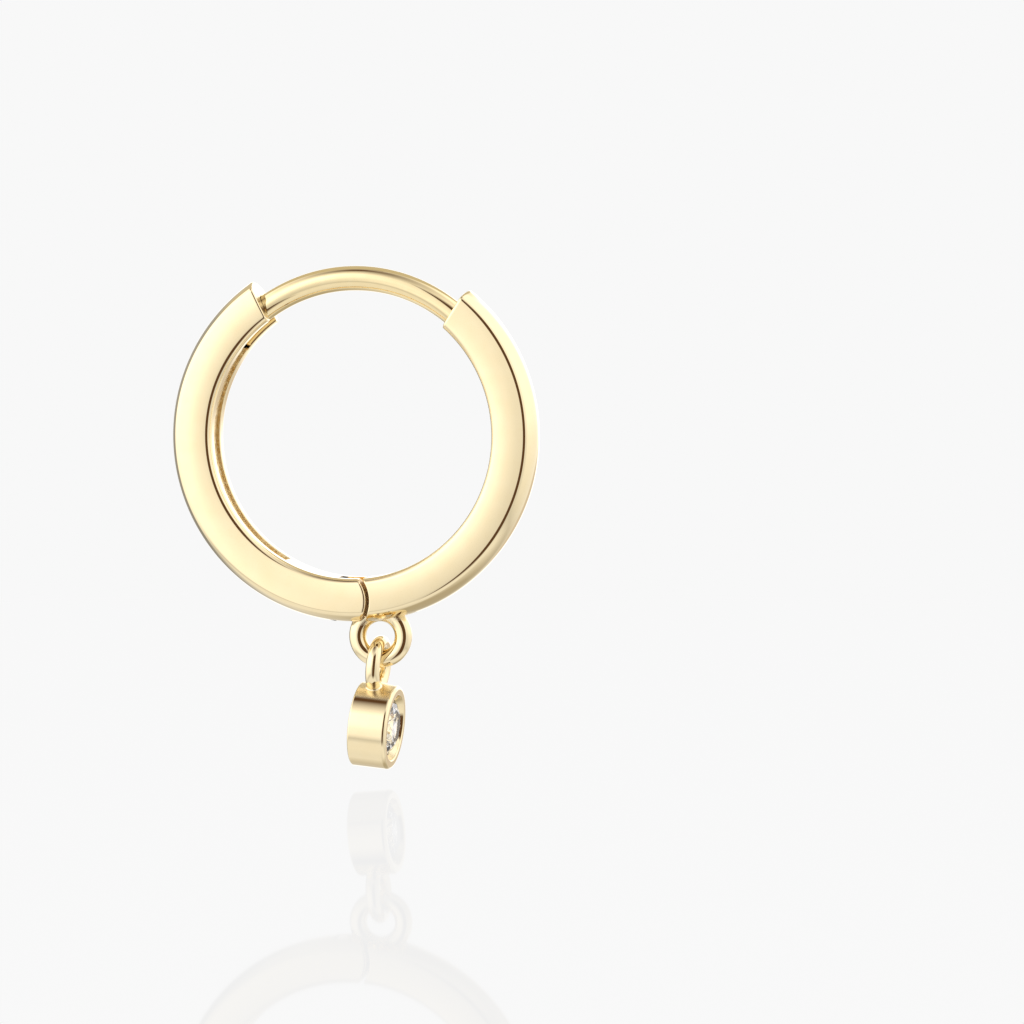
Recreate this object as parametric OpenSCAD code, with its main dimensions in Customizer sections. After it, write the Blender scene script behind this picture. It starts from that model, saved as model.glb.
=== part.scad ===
// Hoop charm earring, hanging as worn. Millimetres, Z up, Y along the hoop's axis.
// The origin is the underside of the ear wire at the top of the hoop, where it lies in the ear lobe.

/* [Hoop band] */
// Inner diameter of the hoop, the opening for the ear lobe
hoop_bore = 9.44; // [8:0.02:16]
// Radial depth of the flat side faces
band_depth = 1.15; // [1:0.01:1.6]
// Width of the band along the hoop's axis
band_w = 1.82; // [1.6:0.02:2.6]
// Rise of the domed outer face above its edges
crown_rise = 0.33; // [0.12:0.01:0.4]
// Radius of the polished edges of the band
edge_r = 0.18; // [0.04:0.01:0.2]
// Angle of the front half's end, counted from the front of the hoop upwards
front_end_ang = 50; // [35:1:60]
// Lean of the front half's end face off the radius
front_end_lean = 7.6; // [0:0.2:12]
// Angle of the back half's end, counted from the front of the hoop upwards
back_end_ang = 125; // [118:0.2:140]
// Lean of the back half's end face off the radius
back_end_lean = 8.4; // [0:0.2:14]

/* [Inside of the back half] */
// Room between the ear wire and each side wall of its socket
socket_side_gap = 0.1; // [0.05:0.01:0.15]
// Room between the ear wire and the socket's floor
socket_floor_gap = 0.15; // [0.1:0.01:0.17]
// Angle from the middle of the ear wire's round tip to the end of its socket
socket_spare_ang = 6; // [5.4:0.2:10]
// Angle at which the cast hollow of the inner face stops above the hinge
hollow_end_ang = 241; // [200:1:244]
// Width of the cast hollow
hollow_w = 0.74; // [0.4:0.02:0.9]
// Depth of the cast hollow
hollow_depth = 0.12; // [0.1:0.01:0.4]

/* [Ear wire] */
// Diameter of the ear wire
wire_d = 0.82; // [0.7:0.02:0.82]
// Distance of the ear wire's underside outside the band's inner face
wire_lift = 0.105; // [0.05:0.005:0.12]
// Angle of the middle of the ear wire's round tip, inside its socket
wire_tip_ang = 138; // [134:0.5:150]
// Step between the ear wire and its round tip
tip_step = 0.01; // [0.005:0.005:0.02]
// Diameter of the peg turned on the ear wire's fixed end
peg_d = 0.5; // [0.3:0.02:0.6]
// Length of the peg inside the front half
peg_len = 0.9; // [0.5:0.05:1.4]
// Gap round the peg and under the ear wire's shoulder
peg_gap = 0.02; // [0.01:0.005:0.04]

/* [Catch] */
// Angle of the catch bar across the socket
catch_ang = 131; // [129:0.5:134]
// Radius of the catch bar
catch_bar_r = 0.12; // [0.08:0.01:0.14]
// Reach of the catch bar past the ear wire's outer side
catch_bite = 0.04; // [0.02:0.01:0.06]
// Gap between the catch bar and the notch in the ear wire
notch_gap = 0.1; // [0.08:0.01:0.14]

/* [Hinge] */
// Angle of the hinge pin, counted from the front of the hoop upwards
hinge_ang = 264.8; // [258:0.2:266]
// Radius of the curved seam between the halves
seam_r = 1.09; // [0.9:0.01:1.2]
// Width of the seam between the halves
seam_gap = 0.1; // [0.06:0.01:0.16]
// Width of the tongue between the ears
tongue_w = 0.6; // [0.4:0.02:0.8]
// Gap between the tongue and each ear, and round the tongue's head
tongue_gap = 0.06; // [0.04:0.01:0.1]
// Depth of the tongue's head under the band's inner and outer faces
tongue_inset = 0.065; // [0.03:0.005:0.12]
// Height of the tongue's neck
neck_h = 1; // [0.7:0.02:1.1]
// Diameter of the hinge pin
pin_d = 0.46; // [0.3:0.02:0.6]
// Radial gap between the hinge pin and its holes
pin_gap = 0.02; // [0.01:0.005:0.05]
// Thickness of the metal left over the pin's end on the near side, where its hole is blind
pin_cover = 0.16; // [0.1:0.01:0.25]

/* [Charm loop] */
// Outer diameter of the charm loop
loop_d = 2.13; // [1.8:0.01:2.4]
// Wire diameter of the charm loop
loop_wire_d = 0.58; // [0.45:0.01:0.6]
// Distance of the charm loop in front of the hoop's centre
loop_x = 0.86; // [0.8:0.01:1.4]
// Distance of the loop's centre below the lowest line of the band
loop_hang = 0.455; // [0.35:0.005:0.55]

/* [Bail] */
// Outer diameter of the bail ring
bail_d = 2.015; // [1.9:0.005:2.4]
// Wire diameter of the bail ring
bail_wire_d = 0.47; // [0.4:0.01:0.54]
// Gap between the bail and the charm loop it hangs on
link_gap = 0.03; // [0.02:0.005:0.06]
// Depth of the bail's centre line inside the cup's wall, where it is soldered
bail_sink = 0.16; // [0.1:0.01:0.22]
// Radius of the solder fillet between the bail and the cup
solder_r = 0.18; // [0.1:0.01:0.26]
// Thickness of the solder fillet across the bail
solder_t = 0.3; // [0.2:0.01:0.36]
// Distance of the bail behind the middle of the cup
bail_back = 0.13; // [0:0.01:0.3]
// Lean of the hanging charm, its top towards the front
charm_lean = 5.5; // [0:0.5:8]
// Turn of the hanging charm about the vertical, its rim towards the near side
charm_turn = 2.5; // [0:0.5:5]

/* [Bezel cup] */
// Outer diameter of the cup
cup_d = 2.8; // [2.7:0.02:3.4]
// Depth of the cup from back to rim
cup_depth = 1.3; // [1.25:0.01:1.6]
// Width of the rolled rim
rim_w = 0.32; // [0.24:0.01:0.34]
// Rise of the rim's dome above its outer and inner edges
rim_rise = 0.1; // [0.04:0.01:0.12]
// Radius of the cup's back edge
cup_edge_r = 0.06; // [0.03:0.01:0.1]
// Diameter of the light hole in the cup's back
light_hole_d = 1; // [0.6:0.05:1.4]

/* [Stone] */
// Diameter of the stone at its girdle
stone_d = 2.04; // [1.9:0.01:2.1]
// Diameter of the table
table_d = 1.12; // [1:0.01:1.2]
// Slope of the crown's main facets
crown_ang = 33; // [28:0.5:36]
// Slope of the pavilion's main facets
pavilion_ang = 40; // [38:0.5:42]
// Thickness of the girdle
girdle_t = 0.03; // [0.02:0.01:0.05]
// Depth of the table under the top of the rim
table_recess = -0.02; // [-0.04:0.01:0.12]
// Gap between the stone and its seat
stone_gap = 0.02; // [0.01:0.005:0.03]
// Overlap of the rim's lip over the girdle
lip_grip = 0.03; // [0.02:0.005:0.05]

/* [Hidden] */
$fn = 64;
gold = "#ecd9a6";
pale_gold = "#e2c88c";
clear = "#e9eff2";

// Steps of a drawn arc: the dome of the band, one polished edge, and the dome of the rim
dome_steps = 14;
edge_steps = 5;
rim_steps = 10;
// Length of a block or rod that only cuts, and the arc that an end face is cut from
cut_len = 5;
end_spare = 6;

bore_r = hoop_bore / 2;
face_r = bore_r + band_depth;
crown_r = face_r + crown_rise;
lobe_r = bore_r + wire_lift;
wire_r = lobe_r + wire_d / 2;
floor_r = lobe_r + wire_d + socket_floor_gap;
socket_w = wire_d + 2 * socket_side_gap;
pivot_r = (bore_r + crown_r) / 2;
head_r = (crown_r - bore_r) / 2 - tongue_inset;
ear_r = seam_r - seam_gap / 2;
seat_r = seam_r + seam_gap / 2;
slot_w = tongue_w + 2 * tongue_gap;
slot_r = head_r + tongue_gap;
pin_len = band_w - pin_cover;
catch_r = wire_r + wire_d / 2 - catch_bite + catch_bar_r;

loop_r = (loop_d - loop_wire_d) / 2;
loop_z = -lobe_r - crown_r - loop_hang;
bail_r = (bail_d - bail_wire_d) / 2;
bail_top_z = loop_z - loop_r + loop_wire_d / 2 + link_gap + bail_wire_d / 2;

cup_r = cup_d / 2;
cup_drop = cup_r + bail_r - bail_sink;
mouth_r = cup_r - rim_w;
stone_r = stone_d / 2;
table_r = table_d / 2;
crown_h = (stone_r - table_r) * tan(crown_ang);
girdle_s = cup_depth - table_recess - crown_h - girdle_t / 2;
// Radii of the star facets' tips and of the lower girdle facets' tips
star_r = 0.78 * stone_r;
lower_r = 0.25 * stone_r;

// Point at radius r and angle a
function polar(r, a) = [r * cos(a), r * sin(a)];

// Points of an arc, from step first to step last of n
function arc(c, r, a0, a1, n, first, last) =
    [for (i = [first:last]) c + polar(r, a0 + (a1 - a0) * i / n)];

// Ring of n points at radius r and height z, the first one at angle a
function ring(n, r, z, a) = [for (k = [0:n - 1]) concat(polar(r, a + k * 360 / n), [z])];

// Hoop's own plane: X forward, Y up, the centre of the hoop at its origin
module in_hoop() {
    translate([0, 0, -lobe_r])
        rotate([90, 0, 0])
            children();
}

// Hinge axis in the hoop's plane
module at_pivot() {
    translate(polar(pivot_r, hinge_ang))
        children();
}

// Charm's own frame: the bail ring's centre, its plane across X, leaning with the charm
module in_charm() {
    translate([loop_x, 0, bail_top_z])
        rotate([0, charm_lean, -charm_turn])
            translate([0, 0, -bail_r])
                children();
}

// Cup's own frame: Z from the back of the cup to its rim
module in_cup() {
    in_charm()
        translate([bail_back - cup_depth / 2, 0, -cup_drop])
            rotate([0, 90, 0])
                children();
}

// Cross-section of the band: flat sides, domed outer face, rounded edges
module band_profile() {
    half_w = band_w / 2;
    dome_r = (half_w * half_w + crown_rise * crown_rise) / (2 * crown_rise);
    dome_c = crown_r - dome_r;
    edge_y = half_w - edge_r;
    edge_c = dome_c + sqrt(pow(dome_r - edge_r, 2) - edge_y * edge_y);
    tilt = atan2(edge_y, edge_c - dome_c);
    polygon(concat(
        arc([dome_c, 0], dome_r, -tilt, tilt, dome_steps, 0, dome_steps),
        arc([edge_c, edge_y], edge_r, tilt, 90, edge_steps, 1, edge_steps),
        arc([bore_r + edge_r, edge_y], edge_r, 90, 180, edge_steps, 0, edge_steps),
        arc([bore_r + edge_r, -edge_y], edge_r, 180, 270, edge_steps, 0, edge_steps),
        arc([edge_c, -edge_y], edge_r, 270, 360 - tilt, edge_steps, 0, edge_steps - 1)
    ));
}

// Stretch of a ring round the hoop's axis, from angle a0 to a1
module sweep(a0, a1) {
    rotate([0, 0, a0])
        rotate_extrude(angle = a1 - a0)
            children();
}

// Block past an end face at angle a on the ear wire's line: side 1 lies beyond it, side 0 before it
module past_end(a, direction, side) {
    translate(polar(wire_r, a))
        rotate([0, 0, direction])
            translate([-cut_len / 2, (side - 1) * cut_len, -cut_len / 2])
                cube(cut_len);
}

// Peg line of the ear wire, or its socket when grown by a gap
module peg(gap) {
    translate(polar(wire_r, front_end_ang))
        rotate([0, 0, front_end_ang])
            rotate([90, 0, 0])
                translate([0, 0, -peg_d])
                    cylinder(d = peg_d + 2 * gap, h = peg_len + peg_d + gap);
}

// Hinge pin, or its hole when grown by a gap: open on the far side, blind on the near side
module pin_line(gap) {
    at_pivot()
        translate([0, 0, -band_w / 2 - gap])
            cylinder(d = pin_d + 2 * gap, h = pin_len + 2 * gap);
}

// Round wire ring of outer diameter d across its own Z
module wire_ring(d, wire) {
    rotate_extrude()
        translate([(d - wire) / 2, 0])
            circle(d = wire);
}

// Tongue of the hinge: a round head on the pin and a neck into the front half
module tongue() {
    intersection() {
        sweep(hinge_ang - 2 * end_spare, hinge_ang + 3 * end_spare)
            band_profile();
        at_pivot() {
            cylinder(r = head_r, h = tongue_w, center = true);
            rotate([0, 0, hinge_ang + 90])
                translate([0, -neck_h / 2, -tongue_w / 2])
                    cube([seat_r + neck_h / 4, neck_h, tongue_w]);
        }
    }
}

// Slot between the ears, milled straight through: room for the head, and for the neck at any opening
module hinge_slot() {
    at_pivot()
        rotate([0, 0, hinge_ang + 90])
            translate([-slot_r, -cut_len / 2, -slot_w / 2])
                cube([cut_len, cut_len, slot_w]);
}

// Charm loop under the band, cut away beside the tongue where the ears turn
module charm_loop() {
    difference() {
        translate([loop_x, loop_z + lobe_r, 0])
            wire_ring(loop_d, loop_wire_d);
        at_pivot()
            difference() {
                cylinder(r = seat_r, h = cut_len, center = true);
                cube([2 * cut_len, 2 * cut_len, tongue_w], center = true);
            }
    }
}

module front_half() {
    color(gold)
        in_hoop()
            difference() {
                union() {
                    difference() {
                        sweep(hinge_ang - 360, front_end_ang + end_spare)
                            band_profile();
                        at_pivot()
                            cylinder(r = seat_r, h = cut_len, center = true);
                    }
                    tongue();
                    charm_loop();
                }
                past_end(front_end_ang, front_end_ang + front_end_lean, 1);
                peg(peg_gap);
                pin_line(pin_gap);
            }
}

module back_half() {
    color(gold)
        in_hoop()
            difference() {
                union() {
                    sweep(back_end_ang - end_spare, hinge_ang)
                        band_profile();
                    intersection() {
                        sweep(hinge_ang - end_spare, hinge_ang + 3 * end_spare)
                            band_profile();
                        at_pivot()
                            cylinder(r = ear_r, h = cut_len, center = true);
                    }
                }
                past_end(back_end_ang, back_end_ang - back_end_lean, 0);
                hinge_slot();
                pin_line(pin_gap);
                difference() {
                    sweep(back_end_ang - 2 * end_spare, wire_tip_ang + socket_spare_ang)
                        translate([bore_r - wire_d, -socket_w / 2])
                            square([floor_r - bore_r + wire_d, socket_w]);
                    translate(polar(catch_r, catch_ang))
                        cylinder(r = catch_bar_r, h = cut_len, center = true);
                }
                sweep(wire_tip_ang, hollow_end_ang)
                    translate([bore_r - wire_d, -hollow_w / 2])
                        square([hollow_depth + wire_d, hollow_w]);
            }
}

module hinge_pin() {
    color(pale_gold)
        in_hoop()
            pin_line(0);
}

// Round tip of the ear wire: a half ball on a short stem that is sunk in the wire's end
module wire_tip() {
    tip_r = wire_d / 2 - tip_step;
    translate(polar(wire_r, wire_tip_ang))
        rotate([-90, 0, wire_tip_ang])
            rotate_extrude()
                union() {
                    intersection() {
                        circle(tip_r);
                        square(tip_r);
                    }
                    translate([0, -tip_r / 2])
                        square([tip_r, tip_r / 2]);
                }
}

module ear_wire() {
    color(pale_gold)
        in_hoop()
            difference() {
                union() {
                    difference() {
                        sweep(front_end_ang - end_spare, wire_tip_ang)
                            translate([wire_r, 0])
                                circle(d = wire_d);
                        translate(polar(peg_gap, front_end_ang + 90))
                            past_end(front_end_ang, front_end_ang + front_end_lean, 0);
                    }
                    wire_tip();
                    peg(0);
                }
                translate(polar(catch_r, catch_ang))
                    cylinder(r = catch_bar_r + notch_gap, h = cut_len, center = true);
            }
}

// Outline of the cup, filled to its axis: round back edge, straight wall, domed rim
module cup_outline() {
    rim_arc_r = (pow(rim_w / 2, 2) + rim_rise * rim_rise) / (2 * rim_rise);
    rim_half = asin(rim_w / 2 / rim_arc_r);
    polygon(concat(
        [[0, 0]],
        arc([cup_r - cup_edge_r, cup_edge_r], cup_edge_r, 270, 360, edge_steps, 0, edge_steps),
        arc([cup_r - rim_w / 2, cup_depth - rim_arc_r], rim_arc_r,
            90 - rim_half, 90 + rim_half, rim_steps, 0, rim_steps),
        [[0, cup_depth - rim_rise]]
    ));
}

// Inside of the cup: light hole, stone seat, room for the girdle, and the mouth under the rim
module cup_inside() {
    hole_r = light_hole_d / 2;
    pocket_r = stone_r + stone_gap;
    seat_top = girdle_s - girdle_t / 2 - stone_gap / cos(pavilion_ang) + stone_gap * tan(pavilion_ang);
    seat_low = seat_top - (pocket_r - hole_r) * tan(pavilion_ang);
    pocket_top = girdle_s + girdle_t / 2 + stone_gap;
    lip_s = girdle_s + girdle_t / 2 + lip_grip * tan(crown_ang) + stone_gap / cos(crown_ang);
    polygon([
        [0, -cup_depth],
        [hole_r, -cup_depth],
        [hole_r, seat_low],
        [pocket_r, seat_top],
        [pocket_r, pocket_top],
        [stone_r - lip_grip, lip_s],
        [mouth_r, cup_depth - rim_rise],
        [mouth_r, 2 * cup_depth],
        [0, 2 * cup_depth]
    ]);
}

// Solder between the bail and the cup: a thin web with a round fillet on each side
module solder() {
    ring_reach = bail_d / 2 + solder_r;
    cup_reach = cup_r + solder_r;
    side = acos((pow(ring_reach, 2) + cup_drop * cup_drop - pow(cup_reach, 2)) / (2 * ring_reach * cup_drop));
    fillet = polar(ring_reach, side);
    linear_extrude(solder_t, center = true)
        difference() {
            polygon([[0, 0], fillet, [cup_drop, 0], [fillet.x, -fillet.y]]);
            translate(fillet)
                circle(solder_r);
            translate([fillet.x, -fillet.y])
                circle(solder_r);
            circle(bail_r);
        }
}

module bezel_setting() {
    color(gold)
        difference() {
            union() {
                in_cup()
                    rotate_extrude()
                        cup_outline();
                in_charm()
                    rotate([0, 90, 0]) {
                        wire_ring(bail_d, bail_wire_d);
                        solder();
                    }
            }
            in_cup()
                rotate_extrude()
                    cup_inside();
        }
}

// Round brilliant: table, stars, mains, upper girdle, girdle, lower girdle, pavilion mains
module stone() {
    half_step = 360 / 16;
    top_z = girdle_t / 2 + crown_h;
    star_z = girdle_t / 2 + (stone_r - star_r * cos(half_step)) * tan(crown_ang);
    lower_z = -girdle_t / 2 - (stone_r - lower_r * cos(half_step)) * tan(pavilion_ang);
    culet_z = -girdle_t / 2 - stone_r * tan(pavilion_ang);
    points = concat(
        ring(8, table_r, top_z, 0),
        ring(8, star_r, star_z, half_step),
        ring(16, stone_r, girdle_t / 2, 0),
        ring(16, stone_r, -girdle_t / 2, 0),
        ring(8, lower_r, lower_z, half_step),
        [[0, 0, culet_z]]
    );
    // First index of each ring of points
    star = 8;
    upper = 16;
    lower = 32;
    tip = 48;
    culet = 56;
    faces = concat(
        [[for (k = [7:-1:0]) k]],
        [for (k = [0:7]) [k, (k + 1) % 8, star + k]],
        [for (k = [0:7]) [k, star + k, upper + 2 * k, star + (k + 7) % 8]],
        [for (k = [0:7]) [star + k, upper + 2 * k + 1, upper + 2 * k]],
        [for (k = [0:7]) [star + k, upper + (2 * k + 2) % 16, upper + 2 * k + 1]],
        [for (j = [0:15]) [upper + j, upper + (j + 1) % 16, lower + (j + 1) % 16, lower + j]],
        [for (k = [0:7]) [tip + k, lower + 2 * k, lower + 2 * k + 1]],
        [for (k = [0:7]) [tip + k, lower + 2 * k + 1, lower + (2 * k + 2) % 16]],
        [for (k = [0:7]) [culet, tip + (k + 7) % 8, lower + 2 * k, tip + k]]
    );
    color(clear)
        in_cup()
            translate([0, 0, girdle_s])
                polyhedron(points, faces);
}

front_half();
back_half();
hinge_pin();
ear_wire();
bezel_setting();
stone();
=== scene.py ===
# %% [markdown]
# # A hoop earring with a hanging stone charm
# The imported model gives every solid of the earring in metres. The origin is the underside of the ear wire,
# Z points up and Y runs along the hoop's axis. The solids keep their places and act as the fixed frame.
# The lesson models a finer, polished piece over each of them, because mirror-bright metal shows every facet
# of a coarse mesh, and then gives each piece its own finish.

import math

import bmesh
import bpy
from mathutils import Matrix, Vector


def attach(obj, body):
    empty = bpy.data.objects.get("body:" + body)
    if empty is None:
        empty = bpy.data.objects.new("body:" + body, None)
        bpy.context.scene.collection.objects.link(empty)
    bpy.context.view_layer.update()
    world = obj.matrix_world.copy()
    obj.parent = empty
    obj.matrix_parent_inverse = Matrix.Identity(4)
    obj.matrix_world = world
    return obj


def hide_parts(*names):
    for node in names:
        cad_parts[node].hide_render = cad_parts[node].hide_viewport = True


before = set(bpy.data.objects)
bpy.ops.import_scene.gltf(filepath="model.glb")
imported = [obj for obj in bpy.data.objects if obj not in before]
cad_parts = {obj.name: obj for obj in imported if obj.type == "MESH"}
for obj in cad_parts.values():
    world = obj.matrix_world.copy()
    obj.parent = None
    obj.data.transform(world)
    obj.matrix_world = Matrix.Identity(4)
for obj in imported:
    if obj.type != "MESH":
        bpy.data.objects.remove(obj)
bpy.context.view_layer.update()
print("solids:", ", ".join(sorted(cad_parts)))

# %% [markdown]
# ## Working in millimetres
# A jeweller thinks in millimetres round the centre of the hoop, and Blender's modelling tools behave better
# on shapes about ten units across than on shapes a hundredth of a unit across. So each piece is drawn in
# millimetres round that centre. When it is finished it shrinks a thousand times and moves to its real place,
# and the move is applied, which leaves the object itself at the origin.

# %% From the work bench to the real place
MM = 0.001
WELD = 0.0004
BORE_R = 4.72
WIRE_LIFT = 0.105
LOBE_R = BORE_R + WIRE_LIFT
HOOP_CENTRE = Vector((0, 0, -LOBE_R))
BENCH = Matrix.Scale(MM, 4) @ Matrix.Translation(HOOP_CENTRE)


def start(name, add, **size):
    """Add a primitive with nothing else selected, name it, and open it in edit mode."""
    bpy.ops.object.select_all(action="DESELECT")
    add(**size)
    piece = bpy.context.object
    piece.name = piece.data.name = name
    bpy.ops.object.mode_set(mode="EDIT")
    bpy.ops.mesh.select_mode(type="VERT")
    bpy.ops.mesh.select_all(action="SELECT")
    return piece


def stop():
    """Weld what meets, point the faces outwards and leave edit mode."""
    bpy.ops.mesh.select_all(action="SELECT")
    bpy.ops.mesh.remove_doubles(threshold=WELD)
    bpy.ops.mesh.normals_make_consistent(inside=False)
    bpy.ops.object.mode_set(mode="OBJECT")


def pick(kind, test):
    """In edit mode, select only the faces, edges or vertices that pass a test."""
    bpy.ops.mesh.select_mode(type=kind)
    bpy.ops.mesh.select_all(action="DESELECT")
    mesh = bmesh.from_edit_mesh(bpy.context.object.data)
    parts = {"VERT": mesh.verts, "EDGE": mesh.edges, "FACE": mesh.faces}[kind]
    chosen = [part for part in parts if test(part)]
    for part in chosen:
        part.select_set(True)
    bmesh.update_edit_mesh(bpy.context.object.data)
    return len(chosen)


def only(piece):
    """Make one object the selected and active one."""
    bpy.ops.object.select_all(action="DESELECT")
    piece.select_set(True)
    bpy.context.view_layer.objects.active = piece


def set_place():
    """Leave edit mode."""
    bpy.ops.object.mode_set(mode="OBJECT")
    bpy.ops.object.transform_apply(location=True, rotation=True, scale=True)


def put(piece, place):
    """Move a piece by a matrix and write the move into its mesh."""
    piece.matrix_world = place
    only(piece)
    bpy.ops.object.transform_apply(location=True, rotation=True, scale=True)


def turn_to(piece, degrees):
    """Turn a piece round the hoop's axis, from angle 0 to the given one."""
    put(piece, Matrix.Rotation(-math.radians(degrees), 4, "Y"))


def use(piece, kind, **settings):
    """Add a modifier with its settings and apply it at once."""
    only(piece)
    modifier = piece.modifiers.new(kind.title(), kind)
    for name, value in settings.items():
        setattr(modifier, name, value)
    bpy.ops.object.modifier_apply(modifier=modifier.name)


def cut(piece, *cutters, operation="DIFFERENCE"):
    """Cut solids out of a piece, or weld them on, and throw the tools away."""
    for cutter in cutters:
        use(piece, "BOOLEAN", object=cutter, operation=operation, solver="EXACT")
        bpy.data.objects.remove(cutter)


def finish_piece(piece, place=Matrix.Identity(4), sharp=35):
    """Smooth the shading, keep hard edges hard, and set the piece in its real place."""
    only(piece)
    bpy.ops.object.shade_smooth_by_angle(angle=math.radians(sharp))
    use(piece, "WEIGHTED_NORMAL", keep_sharp=True, weight=100)
    put(piece, BENCH @ place)
    print(f"{piece.name}: {len(piece.data.polygons)} faces,",
          "size in mm", [round(v * 1000, 2) for v in piece.dimensions])
    return piece


def polar(radius, degrees):
    """Point in the hoop's plane at a radius and an angle, counted from the front of the hoop upwards."""
    return Vector((radius * math.cos(math.radians(degrees)), 0, radius * math.sin(math.radians(degrees))))


# %% [markdown]
# ## Cross-section of the band
# The band of the real hoop is cast and then polished on felt wheels. A wheel leaves no face quite flat and no
# edge quite sharp: the sides swell a little, and the edges turn over a radius of about a fifth of a
# millimetre. Those two things make polished metal look real, because a flat side mirrors one spot of the
# studio and a swelling side mirrors a whole stretch of it. The section could be a rounded box, but here it is
# drawn as a goldsmith would on paper: one point is spun along arc after arc, each touching the next without
# a kink.

# %% Draw the section with arcs that touch
BAND_W = 1.82
CROWN_R = 6.2
DOME_R = 1.42
EDGE_R = 0.22
SIDE_TILT = math.radians(5.5)
EDGE_STEPS, SIDE_STEPS, SHOULDER_STEPS, DOME_STEPS = 9, 10, 7, 31

# The swell of the sides and the place of the corners depend on each other, so a few rounds settle both.
half_w = BAND_W / 2
side_rise = 0
for _ in range(12):
    corner_y = half_w - side_rise - EDGE_R * math.cos(SIDE_TILT)
    edge_end = math.asin(corner_y / (DOME_R - EDGE_R))
    corner_x = CROWN_R - DOME_R + (DOME_R - EDGE_R) * math.cos(edge_end)
    side_len = corner_x - BORE_R - EDGE_R + 2 * EDGE_R * math.sin(SIDE_TILT)
    side_rise = side_len * math.tan(SIDE_TILT / 2) / 2
side_r = side_len / (2 * math.sin(SIDE_TILT))
side_x = BORE_R + EDGE_R * (1 - math.sin(SIDE_TILT)) + side_len / 2
print(f"sides {side_len:.2f} mm deep that swell {side_rise * 1000:.0f} thousandths of a millimetre")


def one_point(name, place):
    """Start a piece as a single point: a small plane merged to its middle."""
    piece = start(name, bpy.ops.mesh.primitive_plane_add, size=0.1, location=place)
    set_place()
    bpy.ops.object.mode_set(mode="EDIT")
    bpy.ops.mesh.select_all(action="SELECT")
    bpy.ops.mesh.merge(type="CENTER")
    return piece


def arc(centre, degrees, steps, axis=(0, 0, 1)):
    """Spin what is selected round a centre, anticlockwise as seen from the axis's tip. Blender's own spin
    turns the other way, hence the minus sign."""
    bpy.ops.mesh.spin(steps=steps, angle=-math.radians(degrees), center=centre, axis=axis)


def line(x, y, z=0):
    """Draw a straight line on from the selected end."""
    bpy.ops.mesh.extrude_vertices_move(TRANSFORM_OT_translate={"value": (x, y, z)})


def fill_outline():
    """Close the drawn outline with one face."""
    bpy.ops.mesh.select_all(action="SELECT")
    bpy.ops.mesh.remove_doubles(threshold=WELD)
    bpy.ops.mesh.select_all(action="SELECT")
    bpy.ops.mesh.edge_face_add()


def band_section(name):
    """The band's section at angle 0: X along the radius, Y along the hoop's axis."""
    tilt = math.degrees(SIDE_TILT)
    end = math.degrees(edge_end)
    piece = one_point(name, (BORE_R, -corner_y, 0))
    arc((BORE_R + EDGE_R, -corner_y, 0), 90 - tilt, EDGE_STEPS)
    arc((side_x, side_r - half_w, 0), 2 * tilt, SIDE_STEPS)
    arc((corner_x, -corner_y, 0), 90 - tilt - end, SHOULDER_STEPS)
    arc((CROWN_R - DOME_R, 0, 0), 2 * end, DOME_STEPS)
    arc((corner_x, corner_y, 0), 90 - tilt - end, SHOULDER_STEPS)
    arc((side_x, half_w - side_r, 0), 2 * tilt, SIDE_STEPS)
    arc((BORE_R + EDGE_R, corner_y, 0), 90 - tilt, EDGE_STEPS)
    fill_outline()
    return piece


# %% [markdown]
# ## Two halves of the hoop
# The section is spun round the hoop's axis in steps of a degree, which is a tenth of a millimetre on the
# band. The ends of the real halves are not square to the band: the two top ends lean, and the ends at the
# hinge are round, one hollow and one bulging, so that they can turn past each other. So each half is spun a
# little short or long, its ends get their small polished bevel while they are still square, and the last
# rings then slide along the hoop until the end has the right shape. Nothing leaves its own circle, so the
# reflections run on undisturbed to the very end.

# %% Shapes of the ends
FRONT_END, FRONT_LEAN = 50, 7.6
BACK_END, BACK_LEAN = 125, 8.4
WIRE_D = 0.82
WIRE_R = LOBE_R + WIRE_D / 2
HINGE = 264.8
PIVOT_R = (BORE_R + CROWN_R) / 2
PIVOT = polar(PIVOT_R, HINGE)
SEAT_R, EAR_R = 1.14, 1.04
END_BEVEL = 0.07
FRONT_SPUN, BACK_SPUN = -86, 274
END_RUN, EAR_RUN = 6, 7
PAST_END = 1.2


def leaning_end(angle, direction):
    """Where a leaning end face cuts the circle of a given radius: a line through the ear wire's centre."""
    through, along = polar(WIRE_R, angle), polar(1, direction)

    def where(radius):
        near = through.dot(along)
        reach = -near + math.sqrt(near * near - through.length_squared + radius * radius)
        point = through + along * reach
        return math.degrees(math.atan2(point.z, point.x))
    return where


def round_end(radius_of_end):
    """Where a round end about the hinge pin cuts the circle of a given radius."""
    def where(radius):
        side = (radius ** 2 + PIVOT_R ** 2 - radius_of_end ** 2) / (2 * radius * PIVOT_R)
        return HINGE + math.degrees(math.acos(side))
    return where


def slide_end(piece, still, last, where, past_half=False):
    """Slide the rings between two angles so that the last one meets its end face."""
    for vertex in piece.data.vertices:
        radius = math.hypot(vertex.co.x, vertex.co.z)
        angle = math.degrees(math.atan2(vertex.co.z, vertex.co.x))
        if past_half:
            angle %= 360
        share = (angle - still) / (last - still)
        if 0 < share < PAST_END:
            new = polar(radius, still + share * (where(radius) - still))
            vertex.co.x, vertex.co.z = new.x, new.z


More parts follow.
